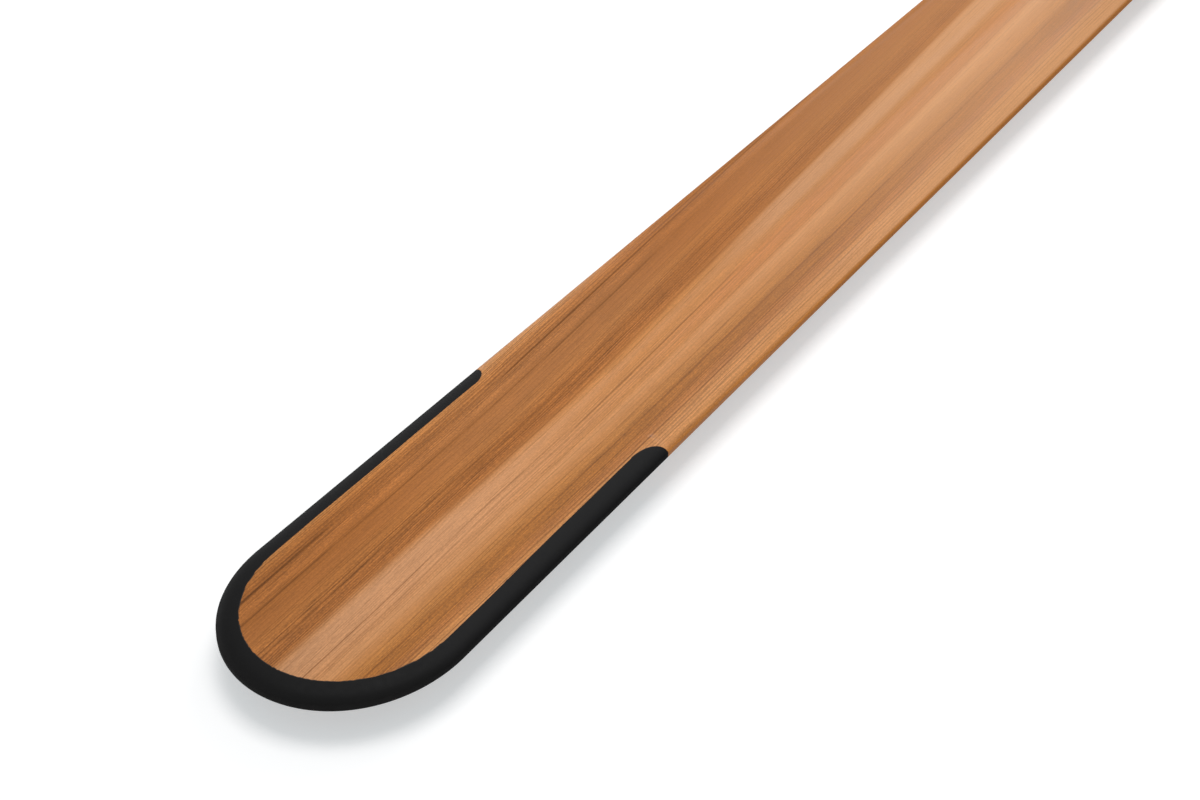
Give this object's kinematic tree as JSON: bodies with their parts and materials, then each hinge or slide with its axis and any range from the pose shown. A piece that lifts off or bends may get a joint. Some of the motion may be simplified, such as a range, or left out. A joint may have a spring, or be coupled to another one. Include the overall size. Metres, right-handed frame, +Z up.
{
  "type": "greenland paddle",
  "caption": "Slim cedar kayak paddle with a long narrow round-ended blade at each end, a straight oval loom between them and black epoxy edging let in round the tips.",
  "frame": {"origin": "under the middle of the loom, on the plane that the loom's flat underside rests on", "axes": "+X along the paddle from the near blade's tip to the far blade's tip, +Y across the blades to the left of that direction, +Z up, square to the blades' faces"},
  "size_m": [2.1998, 0.0864, 0.028],
  "materials": {
    "cedar": "oiled red cedar, satin, with fine straight grain along the paddle",
    "edging_epoxy": "cast black epoxy, sanded to a satin-matt face"
  },
  "bodies": {
    "root": {"loom_stave_middle": "cedar", "loom_stave_left": "cedar", "loom_stave_right": "cedar", "near_blade_cheek_left": "cedar", "near_blade_cheek_right": "cedar", "near_blade_edging": "edging_epoxy", "far_blade_cheek_left": "cedar", "far_blade_cheek_right": "cedar", "far_blade_edging": "edging_epoxy"}
  },
  "joints": []
}
